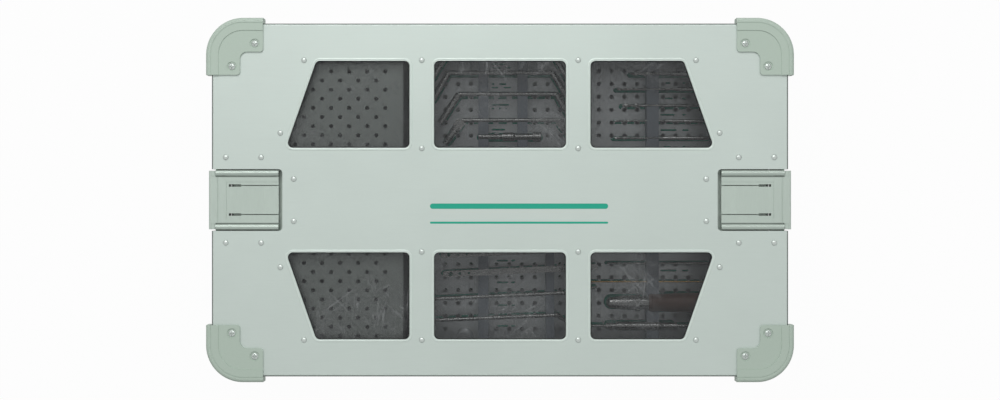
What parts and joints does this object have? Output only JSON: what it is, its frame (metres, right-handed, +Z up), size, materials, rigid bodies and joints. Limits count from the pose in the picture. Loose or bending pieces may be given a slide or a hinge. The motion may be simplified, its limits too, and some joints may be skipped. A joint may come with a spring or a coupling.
{
  "type": "surgical instrument case",
  "caption": "Flat rectangular metal case with windowed lift-off lid, rocker latches and corner guards, holding a screw box and trays of bone surgery instruments.",
  "frame": {"origin": "on the ground below the middle of the case's outline", "axes": "+X along the length, from the screw box to the trays; +Y across the width; +Z up"},
  "size_m": [0.5708, 0.3538, 0.1225],
  "materials": {
    "lid_aluminium": "satin, pale green-grey anodised",
    "base_green": "dark green satin anodised sheet",
    "guard_plastic": "pale grey-green moulded nylon",
    "tinted_glazing": "smoke-tinted clear plastic, gloss",
    "latch_metal": "satin, pale grey-green",
    "steel": "satin stainless steel",
    "tray_aluminium": "bright satin anodised",
    "box_aluminium": "satin anodised",
    "silicone": "blue-grey silicone, matt",
    "gilt_wire": "gold-coloured wire",
    "brown_grip": "brown laminated cloth resin, satin"
  },
  "bodies": {
    "case": {"base_shell": "base_green", "bending_irons": "steel", "bone_hook": "steel", "corner_post_front_left": "guard_plastic", "corner_post_front_right": "guard_plastic", "corner_post_rear_left": "guard_plastic", "corner_post_rear_right": "guard_plastic", "depth_gauge": "steel", "drill_guide_block": "steel", "drill_guide_long": "steel", "drill_guide_medium": "steel", "drill_guide_short": "steel", "drills_and_taps": "steel", "driver_chuck": "steel", "driver_handle": "brown_grip", "forceps": "steel", "guide_sleeve": "steel", "guide_wire": "gilt_wire", "holder_strip_centre": "silicone", "holder_strip_inner_right": "silicone", "holder_strip_left": "silicone", "holder_strip_right": "silicone", "holder_strip_short": "silicone", "holding_sleeve": "steel", "hook_gauge": "steel", "lower_tray": "tray_aluminium", "protection_sleeve_large": "steel", "protection_sleeve_medium": "steel", "protection_sleeve_small": "steel", "screw_box_body": "box_aluminium", "screw_box_guides": "base_green", "screw_box_hinges": "steel", "screw_box_latch": "steel", "screw_box_lid": "box_aluminium", "screw_rack": "tray_aluminium", "sharp_hook": "steel", "strike_plate_left": "steel", "strike_plate_right": "steel", "strike_rivets": "steel", "tray_bail_left": "steel", "tray_bail_right": "steel", "trocar_sleeve": "steel", "upper_tray": "tray_aluminium"},
    "lid": {"latch_housing_left": "latch_metal", "latch_housing_right": "latch_metal", "latch_pin_left": "steel", "latch_pin_right": "steel", "latch_spring_left": "steel", "latch_spring_right": "steel", "lid_guard_front_left": "guard_plastic", "lid_guard_front_right": "guard_plastic", "lid_guard_rear_left": "guard_plastic", "lid_guard_rear_right": "guard_plastic", "lid_guard_screws": "steel", "lid_panel": "lid_aluminium", "lid_rivets": "lid_aluminium", "window_pane_front": "tinted_glazing", "window_pane_rear": "tinted_glazing"},
    "latch_right": {"latch_lever_right": "latch_metal"},
    "latch_left": {"latch_lever_left": "latch_metal"}
  },
  "joints": [
    {"name": "lid_lift", "type": "slide", "parent": "case", "child": "lid", "axis": [0, 0, 1], "range_m": [0, 0.16]},
    {"name": "latch_right_press", "type": "hinge", "parent": "lid", "child": "latch_right", "pos_m": [0.262, 0, 0.1129], "axis": [0, -1, 0], "range_deg": [0, 7], "stiffness_Nm_per_rad": 0.15, "springref_deg": -28.65},
    {"name": "latch_left_press", "type": "hinge", "parent": "lid", "child": "latch_left", "pos_m": [-0.262, 0, 0.1129], "axis": [0, 1, 0], "range_deg": [0, 7], "stiffness_Nm_per_rad": 0.15, "springref_deg": -28.65}
  ]
}
